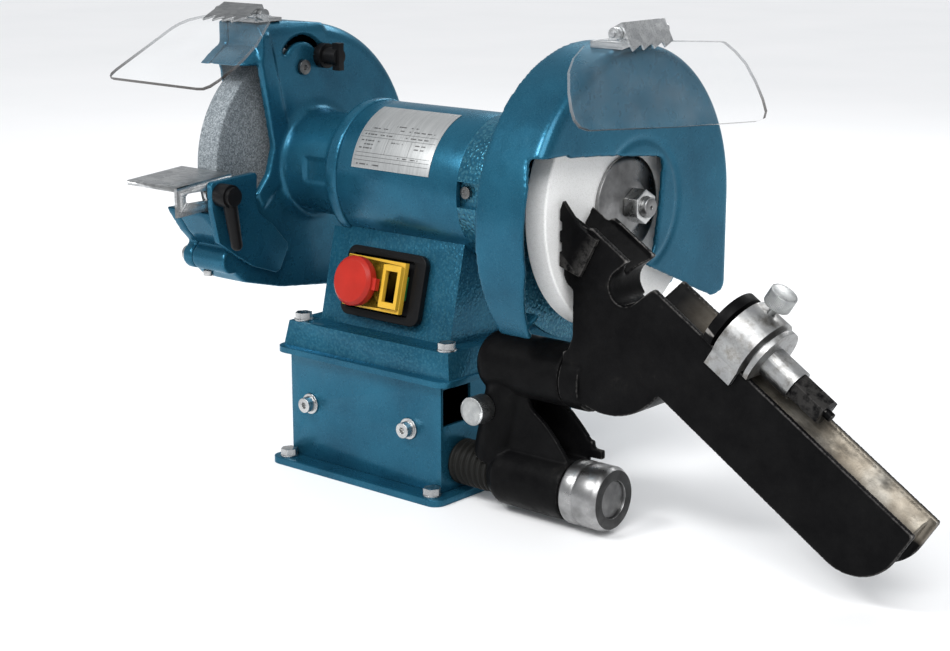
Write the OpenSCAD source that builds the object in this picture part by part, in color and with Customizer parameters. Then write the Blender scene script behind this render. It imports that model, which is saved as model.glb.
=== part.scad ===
// Double-ended bench grinder with a drill-sharpening attachment beside its right wheel.
// X runs along the spindle, Y points to the back and Z points up.
// Z = 0 is the underside of the base plate, and Y = 0 is the plane of the spindle.

/* [Base] */
// Width of the base plate
plate_w = 194; // [188:1:200]
// Depth of the base plate
plate_d = 210; // [204:1:220]
// Thickness of the base plate
plate_t = 6; // [5:0.5:8]
// Half width of the sheet-metal base box
box_half = 86; // [84:1:88]
// Height of the top of the base box
box_top = 98; // [96:1:99]
// Thickness of the box sheet
sheet_t = 3; // [2:0.5:4]

/* [Pedestal] */
// Half width of the pedestal column
column_half = 73.6; // [70:0.2:76]
// Height of the top of the pedestal skirt
skirt_top = 124; // [120:1:128]
// Lean of the front and back of the column in degrees
lean = 14; // [12:0.5:15]

/* [Motor] */
// Height of the spindle above the bench
axis_z = 248.1; // [246:0.1:250]
// Outer radius of the motor tube
tube_r = 60.5; // [58:0.5:61]
// Left end of the motor tube
tube_x0 = -54; // [-56:0.5:-52]
// Right end of the motor tube
tube_x1 = 80; // [78:0.5:82]

/* [Wheels] */
// Radius of both grinding wheels
wheel_r = 100; // [90:1:100]
// Width of the grey wheel
grey_w = 25; // [20:1:25]
// Width of the white wheel
white_w = 20; // [16:1:20]
// Radius of the clamping flanges
flange_r = 39; // [34:1:40]

/* [Guards] */
// Radius of the left guard
left_guard_r = 130; // [126:1:132]
// Radius of the right guard
right_guard_r = 132; // [130:1:134]
// Wall thickness of the right guard
guard_t = 4; // [3:0.5:5]

/* [Drill attachment] */
// Radius of the guide bar
bar_r = 15; // [13:0.5:16]
// Radius of the sliding sleeve
sleeve_r = 25; // [23:0.5:26]
// Angle of the trough below the horizontal in degrees
trough_angle = 32.7; // [31:0.1:34]
// Length of the trough
trough_l = 259; // [200:1:262]
// Height of the trough side plates
trough_h = 64; // [56:1:66]

/* [Hidden] */
$fn = 64;

blue = "#2b6f93";
black = "#1b1b1c";
zinc = "#b9bcbc";
steel = "#8d8f90";

mid_x = 13;                       // plane of symmetry of the motor
flange_t = 5;                     // top flange plate
skirt_z = box_top + flange_t;     // bottom of the skirt
wall_t = 4;                       // pedestal wall
skirt_foot = [94.5, 86.6];        // half sizes of the skirt's bottom
skirt_head = [90.9, 83.3];        // half sizes of the skirt's top
column_foot_y = 63.1;             // half depth of the column where it meets the skirt
column_top_z = 209;               // top of the column before the saddle is cut
base_bolt_xy = [83, 94.9];
skirt_bolt_xy = [82, 74.8];
washer_r = 7.6;
screw_x = [-63, 51];              // socket screws on the front of the box
screw_z = 55;

panel_x = -6;                     // centre of the switch
panel_z = 162;
bezel = [89, 59.5, 6];
bezel_u = 3;                      // the bezel sits to the right of the switch
bezel_hole = [70, 46];

spindle_r = 10;
thread_r = 8;
bearing_r = 23.5;
grey_x0 = -185;
white_x0 = 182;
nut_af = 24;
nut_h = 13;

left_wall_x = -138;               // motor side of the left guard
left_seam_x = -180;               // seam between left guard and its cover
left_out_x = -192;                // outside of the left cover
left_c = [-2, 240];               // centre of the left guard, as y and z
left_t = 5;
nose = [-64, 338, 374];           // front y, lower z and upper z of the nose
right_wall_x = 162;               // motor side of the right guard
right_out_x = 217;                // outer face of the right guard
right_c = [-2.7, 241.4];
right_edge_r = 9;                 // rounding of the right guard's edge

spark_c = [-14.3, 332.6];         // pivot of the spark arrestor, as y and z
spark_slot_r = 25;
knob_angle = 20;

rest_y = [-164, -102.5];          // front and back edge of the tool rest
rest_x = [-202, -138.3];
rest_z = 249;
rest_tilt = 4.5;
stud_yz = [-121, 233.5];

guide_y = -62;
guide_z = 29;
sleeve_x = [128, 205];
feed_x = [205.4, 242];
pivot_y = -60;
pivot_z = 121;
housing_x = [117, 202.4];
pin_r = 12;
run = 0.05;                       // radial clearance of a running fit
arm_y = [-80, -38];               // front and back of the trough
arm_t = 5;                        // thickness of the trough plates
lobe_c = [246, 160];              // centre of the arm's round body, as x and z
lobe_r = 58;
trough_o = [286.5, 205.7];        // upper front corner of the trough, as x and z
lock_xz = [127, 86];
carriage_s = 66;                  // start of the stop carriage along the trough
carriage_n = 12;                  // height of its axis above the trough's edge

// ---------- helpers ----------

module along_x(x0, x1) {
    translate([x0, 0, 0])
        rotate([90, 0, 90])
            linear_extrude(x1 - x0) children();
}

module along_y(y0, y1) {
    translate([0, y1, 0])
        rotate([90, 0, 0])
            linear_extrude(y1 - y0) children();
}

module rod_x(r, x0, x1) {
    translate([x0, 0, 0])
        rotate([0, 90, 0])
            cylinder(r = r, h = x1 - x0);
}

module rod_y(r, y0, y1) {
    translate([0, y1, 0])
        rotate([90, 0, 0])
            cylinder(r = r, h = y1 - y0);
}

module ring_x(ro, ri, x0, x1) {
    difference() {
        rod_x(ro, x0, x1);
        rod_x(ri, x0 - 1, x1 + 1);
    }
}

// Turned about X from a list of [x, radius] points
module lathe_x(points) {
    rotate([0, 90, 0])
        rotate_extrude()
            polygon([for (p = points) [p[1], p[0]]]);
}

module hex_prism(af, h) {
    cylinder(r = af / sqrt(3), h = h, $fn = 6);
}

module rounded_rect(w, d, r) {
    square([w - 2 * r, d], center = true);
    square([w, d - 2 * r], center = true);
    for (sx = [-1, 1], sy = [-1, 1])
        translate([sx * (w / 2 - r), sy * (d / 2 - r)]) circle(r = r);
}

module at_corners(xy, z) {
    for (sx = [-1, 1], sy = [-1, 1])
        translate([sx * xy[0], sy * xy[1], z]) children();
}

module on_axis() {
    translate([0, 0, axis_z]) children();
}

module on_panel() {
    translate([panel_x, -column_foot_y + (panel_z - skirt_top) * tan(lean), panel_z])
        rotate([90 - lean, 0, 0]) children();
}

module on_guide() {
    translate([0, guide_y, guide_z]) children();
}

module on_pivot() {
    translate([0, pivot_y, pivot_z]) children();
}

// Frame of the trough: x runs down its length, z away from its open side
module on_trough() {
    translate([trough_o[0], 0, trough_o[1]])
        rotate([0, trough_angle, 0]) children();
}

// ---------- base ----------

module base_plate() {
    color(blue)
        difference() {
            linear_extrude(plate_t) rounded_rect(plate_w, plate_d, 10);
            at_corners(base_bolt_xy, -1) cylinder(r = 4.2, h = plate_t + 2);
        }
}

module base_bolts() {
    washer_t = 1.6;
    color(zinc)
        at_corners(base_bolt_xy, 0.4) {
            cylinder(r = 4, h = plate_t + washer_t);
            translate([0, 0, plate_t - 0.4]) cylinder(r = washer_r, h = washer_t);
            translate([0, 0, plate_t + washer_t - 0.4]) hex_prism(13, 5.3);
        }
}

module base_box() {
    window_y = [-84, -50];
    window_z = [62, 93];
    color(blue)
        difference() {
            translate([0, 0, plate_t])
                linear_extrude(box_top - plate_t)
                    difference() {
                        square([2 * box_half, 174], center = true);
                        square([2 * (box_half - sheet_t), 174 - 2 * sheet_t], center = true);
                    }
            translate([box_half - 10, window_y[0], window_z[0]])
                cube([20, window_y[1] - window_y[0], window_z[1] - window_z[0]]);
            on_guide() rod_x(bar_r + run, box_half - 10, box_half + 10);
            translate([40, 0, 40]) rod_y(8, 70, 100);
            for (x = screw_x) translate([x, 0, screw_z]) rod_y(3, -100, -70);
        }
}

module box_screws() {
    color(zinc)
        for (x = screw_x)
            translate([x, 0, screw_z])
                difference() {
                    union() {
                        rod_y(3, -90, -78);
                        rod_y(9, -88.6, -87);
                        rod_y(6.5, -96, -88);
                    }
                    translate([0, -92, 0]) rotate([90, 0, 0]) hex_prism(5, 10);
                }
}

module top_flange() {
    color(blue)
        translate([0, 0, box_top])
            difference() {
                linear_extrude(flange_t) rounded_rect(196, 192, 12);
                translate([0, 0, -1]) linear_extrude(flange_t + 2) rounded_rect(110, 90, 8);
                at_corners(skirt_bolt_xy, -1) cylinder(r = 4.2, h = flange_t + 2);
            }
}

module frustum(foot, head, z0, z1) {
    hull() {
        translate([-foot[0], -foot[1], z0]) cube([2 * foot[0], 2 * foot[1], 0.01]);
        translate([-head[0], -head[1], z1 - 0.01]) cube([2 * head[0], 2 * head[1], 0.01]);
    }
}

function column_outline(t) = [
    [-column_foot_y + t, skirt_top - 6],
    [-column_foot_y + t + (column_top_z - skirt_top) * tan(lean), column_top_z],
    [column_foot_y - t - (column_top_z - skirt_top) * tan(lean), column_top_z],
    [column_foot_y - t, skirt_top - 6]
];

module pedestal() {
    t = wall_t;
    color(blue)
        difference() {
            union() {
                frustum(skirt_foot, skirt_head, skirt_z, skirt_top);
                along_x(-column_half, column_half) polygon(column_outline(0));
            }
            frustum([skirt_foot[0] - t, skirt_foot[1] - t], [skirt_head[0] - t, skirt_head[1] - t],
                    skirt_z - 0.1, skirt_top - t);
            along_x(-column_half + t, column_half - t) polygon(column_outline(t));
            on_axis() rod_x(tube_r + 0.1, -60, 100);
            on_axis() rod_x(tube_r + 1.7, -100, tube_x0);
            at_corners(skirt_bolt_xy, skirt_z - 1) cylinder(r = 4.2, h = 60);
            on_panel() translate([-bezel_hole[0] / 2, -bezel_hole[1] / 2, -20])
                cube([bezel_hole[0], bezel_hole[1], 40]);
        }
}

module pedestal_bolts() {
    color(zinc)
        at_corners(skirt_bolt_xy, skirt_top) {
            cylinder(r = 8.2, h = 1.6);
            translate([0, 0, 1.6]) hex_prism(13, 5.3);
            translate([0, 0, box_top + 0.3 - skirt_top])
                cylinder(r = 4, h = skirt_top - box_top);
        }
}

module cable_gland() {
    color(black)
        translate([40, 0, 40])
            difference() {
                union() {
                    rod_y(7.9, 80, 100);
                    rod_y(11, 87, 92);
                    rod_y(9.5, 92, 104);
                    rod_y(11, 78, 84);
                }
                rod_y(4, 70, 120);
            }
}

// ---------- switch ----------

module switch_bezel() {
    color(black)
        on_panel()
            difference() {
                translate([bezel_u, 0, 0])
                    linear_extrude(bezel[2]) rounded_rect(bezel[0], bezel[1], 9);
                translate([0, 0, -1])
                    linear_extrude(bezel[2] + 2) rounded_rect(bezel_hole[0], bezel_hole[1], 2);
            }
}

button_gap = 0.4;
start_u = 21;
stop_u = -14;
start_size = [12, 20];

module switch_body() {
    color("#303236")
        on_panel()
            difference() {
                translate([-34.5, -22.5, -32]) cube([69, 45, 34]);
                translate([start_u - start_size[0] / 2 - button_gap,
                           -start_size[1] / 2 - button_gap, -8])
                    cube([start_size[0] + 2 * button_gap, start_size[1] + 2 * button_gap, 20]);
                translate([stop_u, 0, -8]) cylinder(r = 9 + button_gap, h = 20);
            }
}

flap_u = [-33, 31.5];
flap_v = 21.5;
flap_w = [8, 13];
flap_pin_w = 9.5;                 // height of the flap's hinge above the panel

module switch_flap() {
    color("#e9b92c")
        on_panel() {
            translate([flap_u[0], 0, flap_pin_w]) rod_y(2.4, -flap_v, flap_v);
            difference() {
                translate([flap_u[0], -flap_v, flap_w[0]])
                    cube([flap_u[1] - flap_u[0], 2 * flap_v, flap_w[1] - flap_w[0]]);
                translate([start_u - 6.5, -13, 0]) cube([13, 26, 30]);
                translate([stop_u, 0, 0]) cylinder(r = 9 + button_gap, h = 30);
            }
            difference() {
                translate([start_u - 10, -18, flap_w[1]]) cube([20, 36, 4]);
                translate([start_u - 6.5, -13, 0]) cube([13, 26, 30]);
            }
        }
}

module stop_mushroom() {
    color("#d42a22")
        on_panel() {
            translate([stop_u, 0, 6.3]) cylinder(r = 9, h = 14);
            translate([stop_u, 0, 18]) cylinder(r = 21, h = 7);
            translate([stop_u, 0, 25]) cylinder(r1 = 21, r2 = 18, h = 3);
            translate([stop_u + 18, -5, 18]) cube([6.4, 10, 5]);
        }
}

module start_button() {
    color("#2f8f4a")
        on_panel()
            translate([start_u - start_size[0] / 2, -start_size[1] / 2, -3])
                cube([start_size[0], start_size[1], 9.2]);
}

module stop_button() {
    color("#b3261e")
        on_panel()
            translate([stop_u, 0, -3]) cylinder(r = 9, h = 9);
}

// ---------- motor ----------

module motor_tube() {
    color(blue)
        on_axis() ring_x(tube_r, tube_r - 5, tube_x0, tube_x1);
}

module nameplate() {
    color("#b4b7b8")
        on_axis()
            intersection() {
                ring_x(tube_r + 0.6, tube_r, -37, 49.5);
                along_x(-40, 52)
                    polygon([[0, 0], for (a = [0:4.1:61.5]) 90 * [cos(107 + a), sin(107 + a)]]);
            }
}

core_x = [-32, 58];
gap_r = 34;

module stator_core() {
    slots = 24;
    color("#7d7f82")
        on_axis()
            difference() {
                ring_x(tube_r - 5, gap_r, core_x[0], core_x[1]);
                for (i = [0:slots - 1])
                    rotate([i * 360 / slots, 0, 0])
                        translate([0, 0, 42]) rod_x(2.6, core_x[0] - 1, core_x[1] + 1);
            }
}

module windings() {
    color("#b4622c")
        on_axis()
            for (x = [core_x[0] - 12.2, core_x[1] + 0.2])
                lathe_x([[x, 38], [x, 48], [x + 3, 52], [x + 9, 52], [x + 12, 48], [x + 12, 38]]);
}

module bearing_outer_rings() {
    color(steel)
        on_axis()
            for (x = [91, 2 * mid_x - 105])
                ring_x(bearing_r, 19.5, x, x + 14);
}

module bearing_inner_rings() {
    color(steel)
        on_axis()
            for (x = [91, 2 * mid_x - 105])
                ring_x(13.5, spindle_r, x, x + 14);
}

module bearing_balls() {
    color(zinc)
        on_axis()
            for (x = [98, 2 * mid_x - 98], i = [0:7])
                translate([x, 16.5 * cos(45 * i), 16.5 * sin(45 * i)]) sphere(r = 2.95);
}

// Inside of an end shield, from the guard's wall to the spigot, for the right-hand side
spigot_r = tube_r - 5.05;
shield_inside = [
    [166, 30], [162, 30], [160, 66], [155, 52], [146, 42], [128, 38], [113, 38], [113, 15],
    [105, 15], [105, bearing_r], [91, bearing_r], [91, 30], [97, 30], [97, 50], [72, 50]
];
right_outside = [
    [72, spigot_r], [tube_x1, spigot_r], [tube_x1, tube_r], [108, tube_r], [112, 57],
    [118, 50], [127, 46], [138, 47], [147, 52], [155, 62], [162, 78], [166, 78]
];
left_outside = [
    [72, spigot_r], [2 * mid_x - tube_x0, spigot_r], [2 * mid_x - tube_x0, tube_r + 1.5],
    [91.5, tube_r + 1.5], [93, tube_r], [97, 55], [102, 49], [109, 45.5], [156, 45.5],
    [160, 47], [163, 51], [164, 56], [166, 56]
];
left_inside = concat([[166, 30], [162, 30], [162, 40], [128, 38]],
                     [for (i = [6:14]) shield_inside[i]]);

// ---------- left guard ----------

// Lower edge of the left guard from front to back, as y and z
left_lower = [[-140, 232], [-129, 214], [-117, 196], [-106, 184], [-100, 160], [-90, 151],
              [-45, 139.5], [8, 133], [60, 127], [140, 127]];
nose_top = [-32, 14];             // where the nose's sloping top begins and ends
left_edge_r = 12;                 // rounding of the left guard's edge

// A corner of a line moved sideways by t
function shifted(a, b, c, t) =
    let (u = (b - a) / norm(b - a), v = (c - b) / norm(c - b),
         n = [-u[1] - v[1], u[0] + v[0]])
    b + 2 * t * n / (n * n);

function left_lower_line(t) = [
    for (i = [1:len(left_lower) - 2])
        shifted(left_lower[i - 1], left_lower[i], left_lower[i + 1], t)
];

module left_region(t) {
    polygon(concat([[-160, 232 + t]], left_lower_line(t),
                   [[160, 127 + t], [160, 400], [-160, 400]]));
}

module left_shape(t) {
    intersection() {
        translate(left_c) circle(r = left_guard_r - t, $fn = 128);
        left_region(t);
    }
    polygon([[nose[0] + t, 300], [nose[0] + t, nose[2] - t], [nose_top[0], nose[2] - t],
             [nose_top[1], nose[2] - t - 4.4], [nose_top[1], 300]]);
}

// Disc turned about X with its edge at x1 rounded by f
module rounded_disc(r, x0, x1, f) {
    rotate([0, 90, 0])
        rotate_extrude($fn = 128) {
            translate([0, x0]) square([r - f, x1 - x0]);
            translate([0, x0]) square([r, x1 - f - x0]);
            translate([r - f, x1 - f]) circle(r = f, $fn = 64);
        }
}

// Rectangle from a to b with its upper right corner rounded by f
module corner_rounded(a, b, f) {
    translate(a) square([b[0] - a[0] - f, b[1] - a[1]]);
    translate(a) square([b[0] - a[0], b[1] - a[1] - f]);
    translate([b[0] - f, b[1] - f]) circle(r = f);
}

module left_solid(t) {
    x1 = left_wall_x - t;
    top = nose[2] - t;
    intersection() {
        translate([0, left_c[0], left_c[1]])
            rounded_disc(left_guard_r - t, left_seam_x - t, x1, left_edge_r - t);
        along_x(-200, -130) left_region(t);
    }
    intersection() {
        along_y(nose[0] + t, nose_top[1])
            corner_rounded([left_seam_x - t, 300], [x1, top], left_edge_r - t);
        along_x(-200, -130)
            polygon([[-80, 290], [-80, top + 1], [nose_top[0], top], [nose_top[1], top - 4.4],
                     [nose_top[1] + 10, 290]]);
    }
}

// Open front of the left guard, between the nose and the tool rest
module left_mouth() {
    polygon([[-200, nose[1]], [-66, nose[1]], [-53, 266], [-60, 243], [-79, 222], [-82, 218],
             [-200, 218]]);
}

module left_wall_shape() {
    difference() {
        left_shape(0);
        left_mouth();
    }
}

module left_rim_shape() {
    difference() {
        left_shape(0);
        left_shape(left_t);
        left_mouth();
    }
}

boss_yz = [-103, 172];
boss_r = 11.5;
set_screw_x = -171;

module spark_slot_shape() {
    difference() {
        circle(r = spark_slot_r + 2.7);
        circle(r = spark_slot_r - 2.7);
        polygon([[0, 0], for (a = [150:10:370]) 60 * [cos(a), sin(a)]]);
    }
}

// Raised band along the motor side of the mouth
module left_ridge() {
    polygon([[-64, 364], [-66, 338], [-53, 266], [-60, 243], [-73, 227], [-66, 215],
             [-41, 238], [-35, 277], [-46, 326], [-55, 364]]);
}

module left_housing() {
    color(blue)
        difference() {
            union() {
                on_axis()
                    lathe_x([for (p = concat(left_outside, left_inside)) [2 * mid_x - p[0], p[1]]]);
                difference() {
                    left_solid(0);
                    left_solid(left_t);
                    on_axis() rod_x(46, left_wall_x - 10, left_wall_x + 1);
                }
                along_x(left_wall_x - 1, left_wall_x + 2.5) left_ridge();
                along_x(left_seam_x, left_wall_x - 1) translate(boss_yz) circle(r = boss_r);
            }
            along_x(-200, left_wall_x + 20) left_mouth();
            on_axis() translate([-110, -50, -11]) cube([29, 8, 23]);
            translate([0, spark_c[0], spark_c[1]]) {
                rod_x(4.2, -150, -130);
                along_x(-150, -130) spark_slot_shape();
            }
            translate([0, boss_yz[0], boss_yz[1]]) rod_x(4.2, left_seam_x - 1, left_seam_x + 25);
            translate([set_screw_x, boss_yz[0], 150]) {
                cylinder(r = 2.7, h = 17.4);
                cylinder(r = 4.9, h = 10.4);
            }
        }
}

module left_guard_cover() {
    color(blue)
        difference() {
            union() {
                along_x(left_out_x, left_out_x + 3)
                    difference() {
                        left_wall_shape();
                        translate([0, axis_z]) circle(r = 44);
                    }
                along_x(left_out_x + 3, left_seam_x - 0.2) left_rim_shape();
                along_x(left_out_x, left_seam_x - 0.2) translate(boss_yz) circle(r = boss_r);
                on_axis()
                    lathe_x([[left_out_x, 50], [-207, 46], [-212, 40], [-212, 0], [-209.5, 0],
                             [-209.5, 39], [-206, 43], [left_out_x + 3, 44], [left_out_x + 3, 50]]);
            }
            translate([0, boss_yz[0], boss_yz[1]]) rod_x(4.4, -230, left_seam_x + 1);
        }
}

module left_cover_screws() {
    color(zinc) {
        translate([0, boss_yz[0], boss_yz[1]]) {
            rod_x(4, left_out_x - 1, left_seam_x + 20);
            rod_x(7, left_out_x - 6, left_out_x);
        }
        translate([set_screw_x, boss_yz[0], boss_yz[1] - boss_r]) {
            translate([0, 0, -5.2]) cylinder(r = 4.5, h = 5);
            translate([0, 0, -1]) cylinder(r = 2.5, h = 7.4);
        }
    }
}

// ---------- right guard ----------

module right_region() {
    polygon([[-140, 100], [-104.5, 100], [-102.5, 158], [110, 158], [120, 160], [127, 167],
             [140, 180], [140, 400], [-140, 400]]);
}

module right_shape(t) {
    intersection() {
        union() {
            translate(right_c) circle(r = right_guard_r - t, $fn = 128);
            translate([40, 150]) square([right_guard_r + right_c[0] - t - 40, right_c[1] - 150]);
        }
        right_region();
    }
}

module right_solid(t) {
    x1 = right_out_x - t;
    back = right_c[0] + right_guard_r - t;
    intersection() {
        union() {
            translate([0, right_c[0], right_c[1]])
                rounded_disc(right_guard_r - t, right_wall_x - t, x1, right_edge_r - t);
            translate([0, 0, 150])
                linear_extrude(right_c[1] - 150)
                    corner_rounded([right_wall_x - t, 40], [x1, back], right_edge_r - t);
        }
        along_x(150, 230) right_region();
    }
}

module right_mouth() {
    polygon([[-200, 300], [-120, 298], [-50, 292.5], [24, 284], [30, 282], [32, 276], [29, 246],
             [23, 214], [19, 205], [12, 199], [58, 179.5], [87, 166], [104, 159.5], [110, 150],
             [110, 100], [-200, 100]]);
}

module right_guard() {
    color(blue)
        difference() {
            union() {
                difference() {
                    right_solid(0);
                    right_solid(guard_t);
                }
                along_x(right_wall_x + 4.2, 205)
                    polygon([[-111.5, 169], [-109.5, 165], [-97.5, 172.5], [-98.5, 176.5]]);
            }
            along_x(right_out_x - right_edge_r, right_out_x + 1) right_mouth();
            // front strip narrows towards its lower end
            along_y(-140, -90) {
                polygon([[190.5, 155], [208, 215], [240, 215], [240, 155]]);
                polygon([[202.5, 297.8], [208, 275], [240, 275], [240, 297.8]]);
            }
            for (x = [176, 187])
                translate([x, 0, 186]) rod_y(1.6, -140, -110);
            // shallow dish round the hub
            on_axis() translate([right_out_x + 4.7, 0, 0])
                rotate([0, 90, 0]) rotate_extrude($fn = 128) translate([52, 0]) circle(r = 6);
        }
}

module right_housing() {
    color(blue)
        difference() {
            union() {
                on_axis() lathe_x(concat(right_outside, shield_inside));
                along_x(right_wall_x, right_wall_x + 4)
                    difference() {
                        union() {
                            right_shape(guard_t + 0.1);
                            translate(right_c) circle(r = 105);
                        }
                        translate([0, axis_z]) circle(r = 60);
                    }
            }
            on_axis() translate([76, -66, -9]) cube([31, 12.6, 21]);
            on_axis() translate([86, 0, 3]) rod_y(2.5, -58, -51);
        }
}

module end_shield_screws() {
    color(zinc)
        on_axis()
            translate([86, 0, 3])
                difference() {
                    union() {
                        rod_y(5, -57, -53.4);
                        rod_y(2.5, -53.4, -51);
                    }
                    translate([0, -56, 0]) rotate([90, 0, 0]) hex_prism(4, 5);
                }
}

// ---------- spindle ----------

module shaft() {
    color(steel)
        on_axis()
            lathe_x([[-208, 0], [-208, thread_r - 1], [-207, thread_r], [grey_x0, thread_r],
                     [grey_x0, spindle_r], [-65, spindle_r], [-65, 13], [91, 13],
                     [91, spindle_r], [white_x0 + white_w, spindle_r],
                     [white_x0 + white_w, thread_r], [227, thread_r], [228, thread_r - 1],
                     [228, 1.5], [225, 1], [225, 0]]);
}

module rotor_core() {
    color("#8a8c8f")
        on_axis() {
            ring_x(gap_r - 0.4, 13, core_x[0], core_x[1]);
            ring_x(30, 20, core_x[0] - 6, core_x[0]);
            ring_x(30, 20, core_x[1], core_x[1] + 6);
        }
}

module grinding_wheel(x0, w, tone) {
    color(tone)
        on_axis() ring_x(wheel_r, spindle_r + run, x0, x0 + w);
}

module grey_wheel() {
    grinding_wheel(grey_x0, grey_w, "#84878a");
}

module white_wheel() {
    grinding_wheel(white_x0, white_w, "#e4e1da");
}

module inner_flanges() {
    color(steel)
        on_axis() {
            ring_x(flange_r, spindle_r + run, white_x0 - 8, white_x0);
            ring_x(flange_r, spindle_r + run, grey_x0 + grey_w, grey_x0 + grey_w + 8);
        }
}

function flange_profile(x, s) = [
    [x, thread_r + run], [x, flange_r], [x + s * 3, flange_r], [x + s * 5, flange_r - 5],
    [x + s * 6, 22], [x + s * 8, 18], [x + s * 8, thread_r + run]
];

module outer_flanges() {
    color(steel)
        on_axis() {
            lathe_x(flange_profile(white_x0 + white_w, 1));
            lathe_x(flange_profile(grey_x0, -1));
        }
}

module spindle_nuts() {
    color(zinc)
        on_axis()
            for (x = [white_x0 + white_w + 8, grey_x0 - 8 - nut_h])
                difference() {
                    translate([x, 0, 0]) rotate([0, 90, 0]) hex_prism(nut_af, nut_h);
                    rod_x(thread_r + run, x - 1, x + nut_h + 1);
                }
}

// ---------- tool rest ----------

rest_arm_x = [-138, -132];

module rest_bracket() {
    color(blue)
        along_x(rest_arm_x[0], rest_arm_x[1])
            difference() {
                polygon([[-131, 222], [-131, 243], [-129, 245], [-80, 247.5], [-78, 245],
                         [-79.5, 224], [-77, 212], [-60, 199], [-44, 181], [-43, 176],
                         [-53, 158], [-58, 156], [-86, 166], [-106, 179], [-124, 192]]);
                translate(stud_yz) circle(r = 4.1);
            }
}

module rest_stud() {
    color(zinc)
        translate([0, stud_yz[0], stud_yz[1]]) {
            rod_x(4, -144.9, -116);
            rod_x(8, -144.9, -141.6);
        }
}

module tool_rest() {
    slot = [-150, -108];
    color(zinc)
        difference() {
            union() {
                translate([0, rest_y[1], rest_z]) rotate([rest_tilt, 0, 0])
                    translate([rest_x[0], rest_y[0] - rest_y[1], -4])
                        cube([rest_x[1] - rest_x[0], rest_y[1] - rest_y[0], 4]);
                along_x(rest_x[1] - 3, rest_x[1])
                    polygon([[rest_y[0], 218.5], [rest_y[0], 243], [rest_y[1], 248],
                             [rest_y[1], 222]]);
            }
            along_x(rest_x[1] - 10, rest_x[1] + 5) {
                translate([slot[0], stud_yz[1] - 4.3]) square([slot[1] - slot[0], 8.6]);
                translate([slot[0], stud_yz[1]]) circle(r = 4.3);
                translate([slot[1], stud_yz[1]]) circle(r = 4.3);
            }
        }
}

module clamp_lever() {
    color(black)
        translate([0, stud_yz[0], stud_yz[1]])
            difference() {
                union() {
                    rod_x(10, -131.7, -118);
                    rod_x(8, -118, -114);
                    translate([-122, 0, 0]) rotate([10, 0, 0]) {
                        translate([0, 0, -44]) cylinder(r1 = 5, r2 = 6.5, h = 44);
                        translate([0, 0, -44]) sphere(r = 5);
                    }
                }
                rod_x(4 + run, -140, -115.9);
            }
}

// ---------- spark arrestor ----------

module spark_arrestor() {
    knob_yz = spark_slot_r * [cos(knob_angle), sin(knob_angle)];
    color("#5b6065")
        translate([0, spark_c[0], spark_c[1]]) {
            difference() {
                along_x(-146.5, -143.3)
                    difference() {
                        union() {
                            circle(r = 10);
                            translate(knob_yz) circle(r = 7);
                            rotate(knob_angle) translate([0, -7]) square([spark_slot_r, 14]);
                            polygon([[0, -6], [0, 9], [-33, 25.5], [-36, 24], [-38, 17]]);
                        }
                        circle(r = 4 + run);
                    }
            }
            along_x(-184, -143.3)
                polygon([[-38, 17], [-39.2, 17.5], [-35.5, 25], [-33, 25.5], [-35.5, 17]]);
            translate([0, knob_yz[0], knob_yz[1]]) rod_x(2.4, -146.4, -118);
        }
}

module spark_pivot_screw() {
    color(steel)
        translate([0, spark_c[0], spark_c[1]])
            difference() {
                union() {
                    rod_x(4, -150, -134.5);
                    rod_x(7, -150, -146.8);
                    rod_x(6.5, -137.9, -134.5);
                }
                translate([-136, 0, 0]) rotate([0, 90, 0]) hex_prism(4, 5);
            }
}

module wing_knob() {
    knob_yz = spark_c + spark_slot_r * [cos(knob_angle), sin(knob_angle)];
    color(black)
        translate([0, knob_yz[0], knob_yz[1]])
            difference() {
                union() {
                    rod_x(11, -137.6, -130);
                    rod_x(7.5, -130, -116);
                    translate([-122, -3, -12]) cube([8.5, 6, 24]);
                }
                rod_x(2.4 + run, -140, -117.9);
            }
}

// ---------- eye shields ----------

left_hinge = [-62, 381];          // y and z of the left hinge, which runs along X
left_fall = 26;                   // slope of the left shield below the horizontal
right_hinge = [217, 383.4];       // x and z of the right hinge, which runs along Y
right_shield_y = -5;
right_fall = 63;
right_shield_turn = 4.8;          // turn of the right shield in its own plane
pin_small_r = 2.5;

module left_shield_bracket() {
    lug_x = [-184, -144];
    bolt = [-164, -42];
    color(zinc) {
        difference() {
            translate([lug_x[0], nose[0], nose[2]]) cube([lug_x[1] - lug_x[0], 31, 3]);
            translate([bolt[0], bolt[1], nose[2] - 1]) cylinder(r = 4.2, h = 10);
        }
        translate([lug_x[0], nose[0] - 0.5, nose[2] + 1])
            cube([lug_x[1] - lug_x[0], 4, left_hinge[1] - nose[2] - 1]);
        translate([0, left_hinge[0], left_hinge[1]]) {
            rod_x(4.2, lug_x[0], lug_x[1]);
            rod_x(pin_small_r, -195, -134);
            rod_x(5, -139.7, -134);
            rod_x(5, -193, -188.3);
        }
        translate([bolt[0], bolt[1], nose[2]]) {
            cylinder(r = 4.2, h = 3);
            translate([0, 0, 3]) cylinder(r = 6, h = 3);
        }
    }
}

module at_left_hinge() {
    translate([0, left_hinge[0], left_hinge[1]]) rotate([left_fall, 0, 0]) children();
}

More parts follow.
